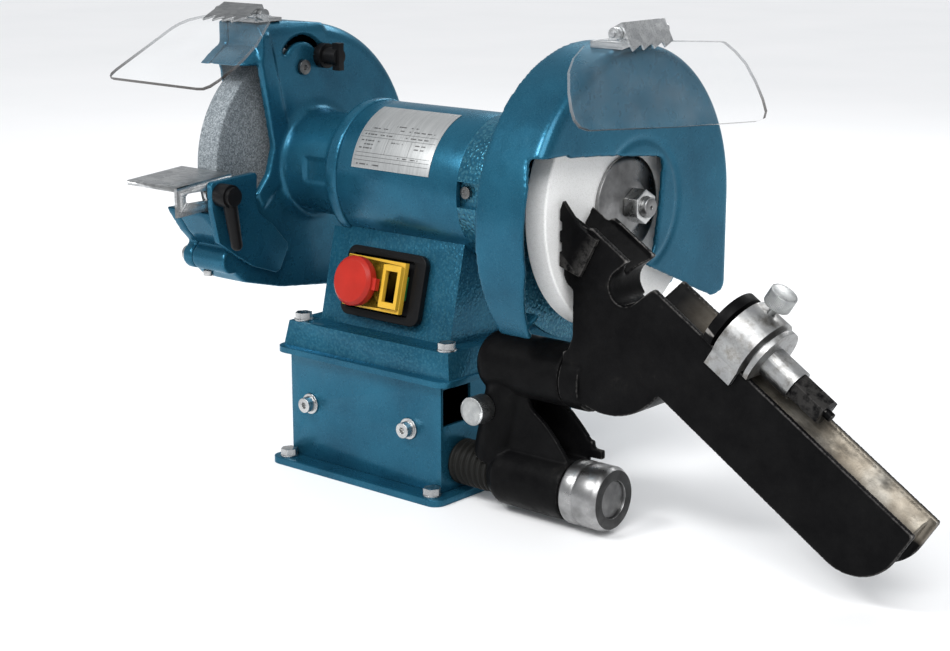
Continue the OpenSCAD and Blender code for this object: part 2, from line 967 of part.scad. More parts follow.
// Toothed sheet that holds an eye shield, l long, hinged on the X axis between two ears
module shield_holder(l, teeth, reach, tip) {
    sheet = 1.6;
    for (x = [-l / 2, l / 2 - 2])
        difference() {
            along_x(x, x + 2) {
                circle(r = 6.2);
                translate([-6.2, 0]) square([12.4, 5 + sheet]);
            }
            rod_x(pin_small_r + run, x - 1, x + 3);
        }
    translate([-l / 2, -reach, 5]) cube([l, reach + 6.2, sheet]);
    translate([-l / 2, 6.2 - sheet, 0]) cube([l, sheet, 6]);
    for (i = [0:teeth - 1])
        translate([-l / 2 + i * l / teeth, -reach, 5])
            linear_extrude(sheet) polygon([[0, 0.5], [l / teeth, 0.5], [1.5, -tip]]);
}

module left_shield_holder() {
    color(zinc)
        at_left_hinge() translate([-164, 0, 0]) shield_holder(48, 4, 16, 8);
}

module left_shield() {
    color("#cfd8da")
        at_left_hinge()
            translate([0, 0, 2])
                linear_extrude(3)
                    polygon([[-118, -7], [-160, -7], [-182, -11], [-192, -14.2], [-200, -18],
                             [-207, -23], [-212, -30], [-214, -39], [-214, -108], [-212.7, -115],
                             [-209.5, -119.5], [-204, -121], [-98, -122.3], [-91, -121.3],
                             [-87.2, -116.5], [-85.7, -107], [-85.8, -90], [-87.8, -75.3],
                             [-94, -52], [-103, -33.8], [-111, -18]]);
}

module at_right_hinge() {
    translate([right_hinge[0], right_shield_y, right_hinge[1]])
        rotate([0, right_fall, 0]) children();
}

module right_shield_bracket() {
    top = right_c[1] + right_guard_r;
    front = right_shield_y - 24;
    color(zinc) {
        difference() {
            translate([188, front, top - 5]) cube([30, 48, 8]);
            translate([180, right_c[0], right_c[1]])
                rod_x(right_guard_r + 0.1, 0, 60, $fn = 256);
        }
        translate([right_hinge[0] - 3, front, top + 2]) cube([4, 48, right_hinge[1] - top - 2]);
        translate([right_hinge[0], right_shield_y, right_hinge[1]]) {
            rod_y(4.2, -24, 24);
            rod_y(pin_small_r, -37, 34);
            rod_y(5, -34, -28.3);
            rod_y(5, 28.3, 32.5);
        }
    }
}

module right_shield_holder() {
    color(zinc)
        at_right_hinge() rotate([0, 0, 90]) shield_holder(56, 4, 13, 4);
}

module right_shield() {
    color("#cfd8da")
        at_right_hinge()
            translate([0, 0, 1.8])
                rotate([0, 0, -right_shield_turn])
                    linear_extrude(3)
                        polygon([[9.4, -60], [14.2, -78], [23.6, -94], [34.2, -104.5], [50, -111.6],
                                 [63, -115], [71, -115.2], [76.5, -111.5], [79.2, -103], [79.6, 0],
                                 [77.8, 108], [75.6, 121], [69.7, 127], [59.3, 128.2],
                                 [44.5, 126.4], [28.1, 120.8], [17.7, 111.9], [10.3, 101.6],
                                 [9.4, 98]]);
}

// ---------- drill attachment ----------

module guide_bar() {
    color(steel)
        on_guide() rod_x(bar_r, 60, 240);
}

module guide_flange() {
    inside = box_half - sheet_t;
    color(steel)
        difference() {
            translate([inside - 9, -83.9, plate_t]) cube([9, 46, 46]);
            on_guide() rod_x(bar_r + run, inside - 20, inside + 1);
        }
}

module bellows() {
    folds = 7;
    x0 = box_half + 0.1;
    pitch = (sleeve_x[0] - 0.1 - x0) / folds;
    color("#232323")
        on_guide()
            lathe_x(concat(
                [for (i = [0:folds - 1], p = [[0, 16.5], [0.25, 16.5], [0.5, 19], [0.75, 19]])
                    [x0 + (i + p[0]) * pitch, p[1]]],
                [[sleeve_x[0] - 0.1, 16.5], [sleeve_x[0] - 0.1, bar_r + 0.3], [x0, bar_r + 0.3]]));
}

module drill_bracket() {
    color(black)
        difference() {
            union() {
                on_guide()
                    lathe_x([[sleeve_x[0], 0], [sleeve_x[0], 19], [132, 21], [138, sleeve_r],
                             [sleeve_x[1], sleeve_r], [sleeve_x[1], 0]]);
                on_pivot()
                    lathe_x([[housing_x[0], 0], [housing_x[0], 17], [119, 21], [123, 24],
                             [128, 25], [housing_x[1], 25], [housing_x[1], 0]]);
                // leaning column
                translate([143, pivot_y - 1, pivot_z]) rotate([0, 13, 0])
                    translate([0, 0, -84]) cylinder(r = 20, h = 88);
                // front web
                along_y(-71, -66)
                    polygon([[138, 40], [138, 110], [160, 100], [166, 89.7], [177, 82],
                             [184, 76], [190.2, 69.5], [200.8, 56.6], [205, 50], [205, 34]]);
                // back web
                along_y(-47, -41)
                    polygon([[145, 40], [150, 112], [166, 100], [178.6, 91.7], [186, 86.5],
                             [192, 81], [198, 75.5], [202.8, 70], [205.5, 66.2], [209.4, 66],
                             [209.4, 60], [218.5, 60], [218.5, 52.5], [205, 52.5], [205, 36]]);
                translate([lock_xz[0], 0, lock_xz[1]]) rod_y(9, -80.6, -55);
            }
            on_guide() rod_x(21, 60, sleeve_x[0]);
            on_guide() rod_x(bar_r + run, 100, 240);
            on_pivot() rod_x(pin_r + run, 100, 240);
            translate([lock_xz[0], 0, lock_xz[1]]) rod_y(3 + run, -90, -56);
        }
}

module feed_ring() {
    color(steel)
        on_guide()
            lathe_x([[feed_x[0], bar_r + run], [feed_x[0], 23.5], [208, 26], [217, 26],
                     [219, 25], [222, 26], [238, 26], [feed_x[1], 23.5],
                     [feed_x[1], bar_r + run]]);
}

module lock_knob() {
    color(zinc)
        translate([lock_xz[0], 0, lock_xz[1]]) {
            rod_y(3, -81, -58);
            rod_y(11.5, -97, -81);
        }
}

module pivot_pin() {
    color(steel)
        on_pivot() {
            rod_x(pin_r, housing_x[0] - 1, 215);
            rod_x(9, housing_x[0] - 8, housing_x[0] - 1);
        }
}

module lip_outline() {
    polygon([[204, 254], [204, 204], [207, 198], [213, 194], [216, 166], [206, 140], [246, 140],
             [262, 200], [263.5, 222.6], [230.6, 243.7], [226, 243]]);
}

module arm_notch() {
    dir = [0.78, 0.625];
    mid = [275, 214.2];
    end = mid - 19 * dir;
    translate(end) circle(r = 13.8);
    translate(end) rotate(38.7) translate([0, -13.8]) square([80, 27.6]);
}

module lobe_shape() {
    intersection() {
        translate(lobe_c) circle(r = lobe_r, $fn = 128);
        polygon([[204, 90], [204, 145], [213, 148], [213, 230], [330, 230], [330, 90]]);
    }
}

module trough_plate_shape() {
    corner = 38;
    difference() {
        translate([0, -trough_h]) square([trough_l, trough_h]);
        translate([trough_l - corner, -trough_h + corner])
            difference() {
                translate([0, -corner - 1]) square([corner + 1, corner + 1]);
                circle(r = corner);
            }
    }
}

module swing_arm() {
    front = [arm_y[0], arm_y[0] + arm_t];
    back = [arm_y[1] - arm_t, arm_y[1]];
    color(black)
        difference() {
            union() {
                along_y(front[0], front[1]) lobe_shape();
                along_y(front[0], back[0]) lip_outline();
                along_y(front[1], back[1])
                    intersection() {
                        lobe_shape();
                        translate([200, 90]) square([120, 76]);
                    }
                on_pivot() rod_x(25, 203, 222);
                on_trough() {
                    along_y(front[0], front[1]) trough_plate_shape();
                    along_y(back[0], back[1]) trough_plate_shape();
                    along_y(back[0] - 1, back[1]) translate([-75.5, -34]) square([53.5, 33]);
                    along_x(0, trough_l - 6)
                        polygon([[front[1], -44], [front[1], -2], [-59, -18], [back[0], -2],
                                 [back[0], -44]]);
                }
            }
            // groove that continues the trough through the lip
            on_trough() along_x(-140, -22)
                polygon([[front[1] + 0.5, 40], [front[1] + 0.5, -4], [-59, -20],
                         [back[0] - 0.5, -4], [back[0] - 0.5, 40]]);
            along_y(arm_y[0] - 1, arm_y[1] + 1) arm_notch();
            on_pivot() rod_x(pin_r, 190, 215);
        }
}

module lip_rest() {
    color("#161616")
        along_y(-84.2, -80.2)
            polygon([[206, 262], [203.4, 255], [203.4, 247], [205.4, 246], [205.4, 240],
                     [203.4, 239], [203.4, 231], [205.4, 230], [205.4, 224], [203.4, 223],
                     [203.4, 212], [222, 206], [238, 236], [222, 244]]);
}

module stop_carriage() {
    span = 25;
    color(zinc)
        on_trough() {
            translate([carriage_s, -59, 0]) {
                difference() {
                    union() {
                        translate([0, 0, carriage_n]) rod_x(28, 0, span);
                        translate([span, 0, carriage_n]) rod_x(26, 4, 8);
                        translate([span - 0.1, 0, carriage_n]) rod_x(16, 0, 5);
                        translate([0, 0, carriage_n]) rod_x(12, span, span + 34);
                    }
                    translate([-1, -40, -60.7]) cube([span + 60, 80, 61]);
                    translate([-1, 0, carriage_n]) rod_x(6 + run, -1, span + 60);
                    translate([span / 2, 0, carriage_n]) cylinder(r = 3 + run, h = 40);
                }
                for (s = [-1, 1])
                    translate([0, s * 23.4 - 2, -12]) cube([span, 4, 22]);
            }
        }
}

module stop_disc() {
    color("#202020")
        on_trough()
            translate([0, -59, 0])
                difference() {
                    translate([0, 0, carriage_n]) {
                        rod_x(26, carriage_s - 12, carriage_s - 4);
                        rod_x(14, carriage_s - 5, carriage_s);
                    }
                    translate([0, -40, -60.7]) cube([200, 80, 61]);
                    translate([0, 0, carriage_n]) rod_x(6 + run, 0, 200);
                }
}

module thumb_screw() {
    color(zinc)
        on_trough()
            translate([carriage_s + 12.5, -59, carriage_n]) {
                translate([0, 0, 12]) cylinder(r = 3, h = 25);
                translate([0, 0, 36]) cylinder(r = 10.5, h = 12);
            }
}

module stop_screw() {
    color("#26272a")
        on_trough()
            translate([carriage_s, -59, carriage_n]) {
                rod_x(6, -12, 66);
                translate([59.5, 0, 0]) rotate([0, 90, 0]) hex_prism(20, 28);
                rod_x(3.5, 87, 93);
            }
}

base_plate();
base_bolts();
base_box();
box_screws();
top_flange();
pedestal();
pedestal_bolts();
cable_gland();
switch_bezel();
switch_body();
switch_flap();
stop_mushroom();
start_button();
stop_button();
motor_tube();
nameplate();
stator_core();
windings();
bearing_outer_rings();
left_housing();
left_guard_cover();
left_cover_screws();
right_housing();
right_guard();
end_shield_screws();
shaft();
rotor_core();
bearing_inner_rings();
bearing_balls();
grey_wheel();
white_wheel();
inner_flanges();
outer_flanges();
spindle_nuts();
rest_bracket();
tool_rest();
rest_stud();
clamp_lever();
spark_arrestor();
spark_pivot_screw();
wing_knob();
left_shield_bracket();
left_shield_holder();
left_shield();
right_shield_bracket();
right_shield_holder();
right_shield();
guide_bar();
guide_flange();
bellows();
drill_bracket();
feed_ring();
lock_knob();
pivot_pin();
swing_arm();
lip_rest();
stop_carriage();
stop_disc();
thumb_screw();
stop_screw();
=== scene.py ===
import math

import bpy
from mathutils import Matrix, Vector


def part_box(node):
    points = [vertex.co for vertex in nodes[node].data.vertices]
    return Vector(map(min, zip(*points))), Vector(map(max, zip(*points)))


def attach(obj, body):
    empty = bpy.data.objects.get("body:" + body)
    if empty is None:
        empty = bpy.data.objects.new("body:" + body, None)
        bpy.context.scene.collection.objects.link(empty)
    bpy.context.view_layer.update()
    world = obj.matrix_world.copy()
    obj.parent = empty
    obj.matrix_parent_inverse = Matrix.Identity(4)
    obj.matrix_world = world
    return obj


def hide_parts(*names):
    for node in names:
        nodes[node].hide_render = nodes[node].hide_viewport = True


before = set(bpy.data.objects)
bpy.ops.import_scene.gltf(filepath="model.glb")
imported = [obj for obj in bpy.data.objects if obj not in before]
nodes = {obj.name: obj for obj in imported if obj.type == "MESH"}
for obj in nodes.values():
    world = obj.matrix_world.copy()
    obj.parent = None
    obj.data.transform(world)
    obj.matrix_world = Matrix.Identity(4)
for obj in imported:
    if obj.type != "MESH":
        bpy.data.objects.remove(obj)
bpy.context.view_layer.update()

MM = 0.001
SLOPE = math.radians(32.7)             # fall of the drill trough
TROUGH_START = (0.2865, 0.0, 0.2057)   # upper front corner of the trough
TROUGH_DOWN = (math.cos(SLOPE), 0.0, -math.sin(SLOPE))
TROUGH_UP = (math.sin(SLOPE), 0.0, math.cos(SLOPE))
SPINDLE_Z = 0.2481                     # height of the spindle
GUIDE_YZ = (-0.062, 0.029)             # axis of the guide bar
AXIS_OF_SPINDLE = (0.0, 0.0, SPINDLE_Z)
AXIS_OF_GUIDE = (0.0, GUIDE_YZ[0], GUIDE_YZ[1])
THUMB_SCREW = (0.3590, -0.0590, 0.1734)   # a point on the thumb screw's axis
LOCK_KNOB = (0.127, -0.09, 0.086)      # a point on the lock knob's axis
LEFT_SHEET_NORMAL = (0.0, -0.438, 0.899)
RIGHT_SHEET_NORMAL = (0.891, 0.0, 0.454)


# ---------- camera, floor and light ----------

def add_camera():
    azimuth, elevation = math.radians(40.39), math.radians(13.81)
    right = Vector((math.cos(azimuth), math.sin(azimuth), 0))
    back = Vector((math.sin(azimuth) * math.cos(elevation),
                   -math.cos(azimuth) * math.cos(elevation), math.sin(elevation)))
    up = back.cross(right)
    data = bpy.data.cameras.new("photo_camera")
    data.sensor_width = 36
    data.lens = 71.93
    camera = bpy.data.objects.new("photo_camera", data)
    turn = Matrix((right, up, back)).transposed().to_4x4()
    camera.matrix_world = Matrix.Translation((1.06257, -1.19207, 0.51025)) @ turn
    bpy.context.scene.collection.objects.link(camera)
    bpy.context.scene.camera = camera


def add_area(name, place, target, size, power, tint=(1, 1, 1)):
    data = bpy.data.lights.new(name, "AREA")
    data.shape = "RECTANGLE"
    data.size, data.size_y = size
    data.energy = power
    data.color = tint
    lamp = bpy.data.objects.new(name, data)
    lamp.location = place
    lamp.rotation_euler = (Vector(target) - Vector(place)).to_track_quat("-Z", "Y").to_euler()
    bpy.context.scene.collection.objects.link(lamp)


def add_sun(place, strength, spread):
    data = bpy.data.lights.new("sun", "SUN")
    data.energy = strength
    data.angle = math.radians(spread)
    lamp = bpy.data.objects.new("sun", data)
    lamp.rotation_euler = Vector(place).to_track_quat("Z", "Y").to_euler()
    bpy.context.scene.collection.objects.link(lamp)


def add_studio():
    bpy.context.scene.view_settings.view_transform = "Standard"
    world = bpy.data.worlds.new("studio")
    bpy.context.scene.world = world
    world.use_nodes = True
    background = world.node_tree.nodes["Background"]
    background.inputs["Color"].default_value = (0.95, 0.97, 1.0, 1)
    background.inputs["Strength"].default_value = 0.52
    middle = (0, -0.05, 0.2)
    add_sun((0.40, -0.60, 0.72), 2.1, 40)
    add_area("key", (-0.5, -1.7, 1.9), middle, (0.7, 0.5), 30)
    add_area("rim", (-0.3, 1.6, 1.5), middle, (1.6, 0.5), 14)
    edge = 25
    corners = [(-edge, -edge, 0), (edge, -edge, 0), (edge, edge, 0), (-edge, edge, 0)]
    floor = mesh_object("floor", corners, [(0, 1, 2, 3)])
    floor.data.materials.append(pale_floor())


# ---------- mesh helpers ----------

def mesh_object(name, points, faces):
    mesh = bpy.data.meshes.new(name)
    mesh.from_pydata([Vector(p) for p in points], [], faces)
    mesh.update()
    piece = bpy.data.objects.new(name, mesh)
    bpy.context.scene.collection.objects.link(piece)
    return piece


def turned(name, profile, segments=240):
    """A ring about the spindle from a closed profile of (x, radius) points."""
    points, faces = [], []
    count = len(profile)
    for i in range(segments):
        angle = 2 * math.pi * i / segments
        for x, radius in profile:
            points.append((x, radius * math.cos(angle), SPINDLE_Z + radius * math.sin(angle)))
        here, after = i * count, (i + 1) % segments * count
        for j in range(count):
            k = (j + 1) % count
            faces.append((here + j, after + j, after + k, here + k))
    piece = mesh_object(name, points, faces)
    for polygon in piece.data.polygons:
        polygon.use_smooth = True
    return piece


def grinding_wheel(name, node, material):
    """A finely turned wheel with worn corners and dished sides, in place of the CAD ring."""
    low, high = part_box(node)
    x0, x1 = low[0], high[0]
    rim = (high[2] - low[2]) / 2
    bore, hub, worn = 0.0101, 0.042, 0.0018
    profile = [(x0, bore), (x0, hub), (x0 + 0.0006, hub + 0.004), (x0 + 0.0006, rim - 0.012)]
    profile += [(x0 + worn - worn * math.cos(a), rim - worn + worn * math.sin(a))
                for a in [math.radians(15 * k) for k in range(7)]]
    profile += [(x1 - worn + worn * math.sin(a), rim - worn + worn * math.cos(a))
                for a in [math.radians(15 * k) for k in range(7)]]
    profile += [(x1 - 0.0006, rim - 0.012), (x1 - 0.0006, hub + 0.004), (x1, hub), (x1, bore)]
    piece = turned(name, profile)
    give(piece, material)
    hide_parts(node)
    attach(piece, "spindle")


# ---------- material helpers ----------

class Maker:
    """Builds one node material: a Principled shader and what feeds it."""

    def __init__(self, name):
        self.material = bpy.data.materials.new(name)
        self.material.use_nodes = True
        self.tree = self.material.node_tree
        self.shader = self.tree.nodes["Principled BSDF"]
        coordinates = self.tree.nodes.new("ShaderNodeTexCoord")
        self.place = coordinates.outputs["Object"]
        self.facing = coordinates.outputs["Normal"]
        self.normal = None

    def node(self, kind, **values):
        made = self.tree.nodes.new(kind)
        for key, value in values.items():
            setattr(made, key, value)
        return made

    def link(self, source, target):
        self.tree.links.new(source, target)

    def set(self, socket, value):
        self.shader.inputs[socket].default_value = value

    def noise(self, size, detail=3.0, roughness=0.55, place=None):
        made = self.node("ShaderNodeTexNoise")
        made.inputs["Scale"].default_value = 1 / size
        made.inputs["Detail"].default_value = detail
        made.inputs["Roughness"].default_value = roughness
        self.link(place or self.place, made.inputs["Vector"])
        return made.outputs["Fac"]

    def cells(self, size, feature="F1", place=None):
        made = self.node("ShaderNodeTexVoronoi", feature=feature)
        made.inputs["Scale"].default_value = 1 / size
        self.link(place or self.place, made.inputs["Vector"])
        return made

    def ramp(self, source, stops):
        made = self.node("ShaderNodeValToRGB")
        band = made.color_ramp
        while len(band.elements) < len(stops):
            band.elements.new(0.5)
        for element, (at, colour) in zip(band.elements, stops):
            element.position = at
            element.color = tuple(colour) + (1,) if len(colour) == 3 else colour
        self.link(source, made.inputs["Fac"])
        return made.outputs["Color"]

    def levels(self, source, low, high, to_low=0.0, to_high=1.0):
        made = self.node("ShaderNodeMapRange")
        for socket, value in zip(("From Min", "From Max", "To Min", "To Max"),
                                 (low, high, to_low, to_high)):
            made.inputs[socket].default_value = value
        self.link(source, made.inputs["Value"])
        return made.outputs["Result"]

    def math(self, operation, first, second=None):
        made = self.node("ShaderNodeMath", operation=operation)
        for socket, value in zip(made.inputs, (first, second)):
            if value is None:
                continue
            if isinstance(value, (int, float)):
                socket.default_value = value
            else:
                self.link(value, socket)
        return made.outputs["Value"]

    def mix(self, factor, first, second):
        made = self.node("ShaderNodeMix", data_type="RGBA")
        for socket, value in ((made.inputs[0], factor), (made.inputs[6], first),
                              (made.inputs[7], second)):
            if isinstance(value, (tuple, list)):
                socket.default_value = tuple(value) + (1,) if len(value) == 3 else value
            elif isinstance(value, (int, float)):
                socket.default_value = value
            else:
                self.link(value, socket)
        return made.outputs[2]

    def bump(self, height, depth, strength=1.0):
        made = self.node("ShaderNodeBump")
        made.inputs["Distance"].default_value = depth
        made.inputs["Strength"].default_value = strength
        self.link(height, made.inputs["Height"])
        if self.normal:
            self.link(self.normal, made.inputs["Normal"])
        self.normal = made.outputs["Normal"]

    def colour(self, source):
        self.link(source, self.shader.inputs["Base Color"])

    def rough(self, source):
        self.link(source, self.shader.inputs["Roughness"])

    def stretched(self, factors):
        made = self.node("ShaderNodeMapping")
        made.inputs["Scale"].default_value = factors
        self.link(self.place, made.inputs["Vector"])
        return made.outputs["Vector"]

    def along(self, direction, origin=(0, 0, 0), vector=None):
        """How far the place lies from origin along a direction."""
        moved = self.node("ShaderNodeVectorMath", operation="SUBTRACT")
        moved.inputs[1].default_value = origin
        self.link(vector or self.place, moved.inputs[0])
        dot = self.node("ShaderNodeVectorMath", operation="DOT_PRODUCT")
        dot.inputs[1].default_value = direction
        self.link(moved.outputs[0], dot.inputs[0])
        return dot.outputs["Value"]

    def polar(self, origin, first, second):
        """Distance and angle round an axis square to two directions."""
        a, b = self.along(first, origin), self.along(second, origin)
        square = self.math("ADD", self.math("MULTIPLY", a, a), self.math("MULTIPLY", b, b))
        return self.math("SQRT", square), self.math("ARCTAN2", b, a)

    def band(self, value, low, high, soft):
        """1 between low and high, falling to 0 over soft on both sides."""
        rise = self.levels(value, low - soft, low + soft)
        fall = self.levels(value, high - soft, high + soft, 1.0, 0.0)
        return self.math("MULTIPLY", rise, fall)

    def any_of(self, masks):
        total = masks[0]
        for mask in masks[1:]:
            total = self.math("MAXIMUM", total, mask)
        return total

    def convex_edges(self, low, high):
        """Where the surface turns outwards sharply."""
        geometry = self.node("ShaderNodeNewGeometry")
        return self.levels(geometry.outputs["Pointiness"], low, high)

    def finished(self):
        if self.normal:
            self.link(self.normal, self.shader.inputs["Normal"])
        return self.material


def pale_floor():
    m = Maker("pale_floor")
    m.colour(m.ramp(m.noise(0.4), [(0.3, (0.90, 0.905, 0.91)), (0.7, (0.93, 0.93, 0.935))]))
    m.set("Roughness", 0.55)
    m.bump(m.noise(0.004), 0.0001, 0.3)
    return m.finished()


def blue_enamel(name, hammer=0.0):
    m = Maker(name)
    cloud = m.noise(0.05, 2)
    flake = m.cells(0.0010)
    deep, light = (0.008, 0.064, 0.112), (0.014, 0.102, 0.168)
    base = m.ramp(cloud, [(0.3, deep), (0.75, light)])
    glint = m.levels(flake.outputs["Distance"], 0.0, 0.6, 0.22, 0.0)
    dust = m.levels(m.noise(0.02, 6, 0.7), 0.62, 0.8, 0.0, 0.25)
    paint = m.mix(glint, base, (0.08, 0.26, 0.36))
    if hammer:
        lumps = m.cells(0.0024, "SMOOTH_F1").outputs["Distance"]
        paint = m.mix(m.levels(lumps, 0.1, 0.5, hammer * 0.35, 0.0), paint, (0.13, 0.36, 0.42))
    m.colour(m.mix(dust, paint, (0.07, 0.125, 0.155)))
    m.set("Metallic", 0.55)
    m.set("Specular IOR Level", 0.25)
    m.set("Specular Tint", (0.45, 0.78, 0.95, 1))
    m.rough(m.levels(m.noise(0.012, 4), 0.3, 0.7, 0.24, 0.34))
    m.set("Coat Weight", 0.12)
    m.set("Coat Roughness", 0.14)
    m.bump(m.noise(0.0022, 2), 0.00009, 0.55)
    if hammer:
        m.bump(m.levels(lumps, 0.05, 0.6), 0.0005, hammer)
    return m.finished()


def zinc_plate(name="zinc_plate", tone=1.0, grime=0.0):
    m = Maker(name)
    grain = m.noise(0.004, 5)
    stain = m.ramp(m.noise(0.018, 3), [(0.3, (0.38 * tone, 0.385 * tone, 0.39 * tone)),
                                       (0.6, (0.56 * tone, 0.565 * tone, 0.56 * tone)),
                                       (0.8, (0.60 * tone, 0.58 * tone, 0.54 * tone))])
    dirt = m.levels(m.noise(0.009, 6, 0.7), 0.45, 0.7, 0.0, grime)
    m.colour(m.mix(dirt, stain, (0.09, 0.075, 0.06)))
    m.set("Metallic", 1.0)
    m.rough(m.levels(grain, 0.3, 0.7, 0.2 + grime * 0.15, 0.4 + grime * 0.2))
    m.bump(m.noise(0.0012, 3), 0.00004, 0.6)
    return m.finished()


def knurled(name, origin, first, second, ridges):
    """Zinc with fine ridges round an axis square to two directions."""
    m = Maker(name)
    radius, angle = m.polar(origin, first, second)
    wave = m.math("SINE", m.math("MULTIPLY", angle, float(ridges)))
    rim = m.levels(radius, 0.0085, 0.0098)
    m.colour(m.ramp(m.noise(0.01, 4), [(0.3, (0.30, 0.31, 0.315)), (0.7, (0.50, 0.51, 0.50))]))
    m.set("Metallic", 1.0)
    m.rough(m.levels(m.noise(0.003, 4), 0.3, 0.7, 0.25, 0.4))
    turning = m.math("SINE", m.math("MULTIPLY", radius, 7000.0))
    m.bump(turning, 0.00002, 0.2)
    m.bump(m.math("MULTIPLY", wave, rim), 0.0003, 0.6)
    return m.finished()


def galvanised_sheet(name="galvanised_sheet", tone=1.0):
    m = Maker(name)
    spangle = m.cells(0.006)
    pale, dull = (0.60 * tone, 0.61 * tone, 0.61 * tone), (0.44 * tone, 0.45 * tone, 0.46 * tone)
    base = m.ramp(spangle.outputs["Color"], [(0.2, dull), (0.8, pale)])
    scratch = m.noise(0.004, 4, place=m.stretched((0.15, 3.0, 3.0)))
    m.colour(m.mix(m.levels(scratch, 0.5, 0.72), base, (0.30 * tone, 0.31 * tone, 0.31 * tone)))
    m.set("Metallic", 1.0)
    m.rough(m.levels(scratch, 0.3, 0.75, 0.24, 0.5))
    m.bump(scratch, 0.00006, 0.5)
    return m.finished()


def turned_steel(name, axis, dark=0.0, end_shade=1.0):
    """Lathe-turned steel; the last argument darkens its flat ends as painted shade."""
    m = Maker(name)
    rings = m.node("ShaderNodeTexNoise", noise_dimensions="1D")
    rings.inputs["Scale"].default_value = 2600
    rings.inputs["Detail"].default_value = 2
    m.link(m.polar(axis, (0, 1, 0), (0, 0, 1))[0], rings.inputs["W"])
    stain = m.noise(0.015, 5)
    clean, dull = (0.60 - dark, 0.60 - dark, 0.60 - dark), (0.36 - dark * 0.6,) * 3
    tone = m.ramp(stain, [(0.35, dull), (0.62, clean)])
    # Painted shade: the flat ends, square to the axis, are darkened by the last argument.
    shaded_ends = m.levels(m.math("ABSOLUTE", m.along((1, 0, 0), vector=m.facing)), 0.8, 0.9)
    shaded_end_tone = m.node("ShaderNodeVectorMath", operation="SCALE")
    shaded_end_tone.inputs["Scale"].default_value = end_shade
    m.link(tone, shaded_end_tone.inputs[0])
    m.colour(m.mix(shaded_ends, tone, shaded_end_tone.outputs[0]))
    m.set("Metallic", 1.0)
    m.rough(m.levels(stain, 0.3, 0.7, 0.42, 0.24))
    m.bump(rings.outputs["Fac"], 0.00006, 0.5)
    return m.finished()


def cast_black(m):
    """Colour, roughness and grain of black paint over rough cast iron."""
    tone = m.noise(0.03, 6, 0.7)
    m.rough(m.levels(m.noise(0.01, 5), 0.3, 0.7, 0.28, 0.52))
    m.set("Specular IOR Level", 0.045)
    m.bump(m.noise(0.0045, 4, 0.6), 0.0005, 0.5)
    m.bump(m.noise(0.0010, 2), 0.00012, 0.5)
    return m.ramp(tone, [(0.35, (0.0022, 0.0022, 0.0025)), (0.62, (0.005, 0.005, 0.0052)),
                         (0.8, (0.016, 0.015, 0.014))])


def black_casting(name="black_casting", low=0.535, high=0.6):
    """Black casting whose sharp edges have worn to bare metal."""
    m = Maker(name)
    paint = cast_black(m)
    chips = m.levels(m.noise(0.006, 5, 0.7), 0.38, 0.55)
    worn = m.math("MULTIPLY", m.convex_edges(low, high), chips)
    m.colour(m.mix(worn, paint, (0.22, 0.21, 0.20)))
    return m.finished()


def trough_casting():
    """The swing arm: black outside, with worn and rusty steel up the far side of its trough, and
    painted shade kept black low in the groove by the front plate.
    """
    m = Maker("trough_casting")
    paint = cast_black(m)
    chips = m.levels(m.noise(0.006, 5, 0.7), 0.36, 0.55)
    edge = m.math("MULTIPLY", m.convex_edges(0.53, 0.60), chips)
    across = m.band(m.along((0, 1, 0)), -0.0735, -0.0412, 0.0008)
    inside = m.levels(m.along(TROUGH_UP, TROUGH_START), -0.024, -0.019)
    # Painted shade: the groove's lower part next to the front plate stays black, where the front
    # plate shades it; the bare steel shows only up the far side.
    far_side_above_painted_shade = m.levels(m.along((0, 1, 0)), -0.060, -0.050)
    groove = m.math("MULTIPLY", m.math("MULTIPLY", across, inside), far_side_above_painted_shade)
    down = m.along(TROUGH_DOWN, TROUGH_START)
    rubbed = m.levels(m.noise(0.02, 5, 0.6, m.stretched((0.4, 1.6, 0.8))), 0.25, 0.5)
    rubbed = m.math("MULTIPLY", rubbed, m.levels(down, 0.01, 0.10))
    steel = m.ramp(m.noise(0.03, 5, 0.55), [(0.3, (0.13, 0.11, 0.085)), (0.5, (0.19, 0.17, 0.14)),
                                            (0.7, (0.27, 0.255, 0.225))])
    bare = m.math("MULTIPLY", groove, rubbed)
    m.colour(m.mix(edge, m.mix(bare, paint, steel), (0.26, 0.25, 0.24)))
    m.link(m.math("MULTIPLY", bare, 0.75), m.shader.inputs["Metallic"])
    return m.finished()


def laminations():
    m = Maker("laminations")
    sheets = m.node("ShaderNodeTexWave", bands_direction="X")
    sheets.inputs["Scale"].default_value = 320
    m.link(m.place, sheets.inputs["Vector"])
    m.colour(m.ramp(sheets.outputs["Fac"], [(0.2, (0.12, 0.12, 0.13)), (0.8, (0.34, 0.34, 0.35))]))
    m.set("Metallic", 0.9)
    m.set("Roughness", 0.45)
    m.bump(sheets.outputs["Fac"], 0.0002, 0.6)
    return m.finished()


def copper_winding():
    m = Maker("copper_winding")
    turns = m.node("ShaderNodeTexWave", bands_direction="DIAGONAL")
    turns.inputs["Scale"].default_value = 260
    turns.inputs["Distortion"].default_value = 1.5
    m.link(m.place, turns.inputs["Vector"])
    m.colour(m.ramp(turns.outputs["Fac"], [(0.2, (0.22, 0.06, 0.02)), (0.8, (0.55, 0.20, 0.07))]))
    m.set("Metallic", 0.8)
    m.set("Roughness", 0.3)
    m.bump(turns.outputs["Fac"], 0.0006, 0.8)
    return m.finished()


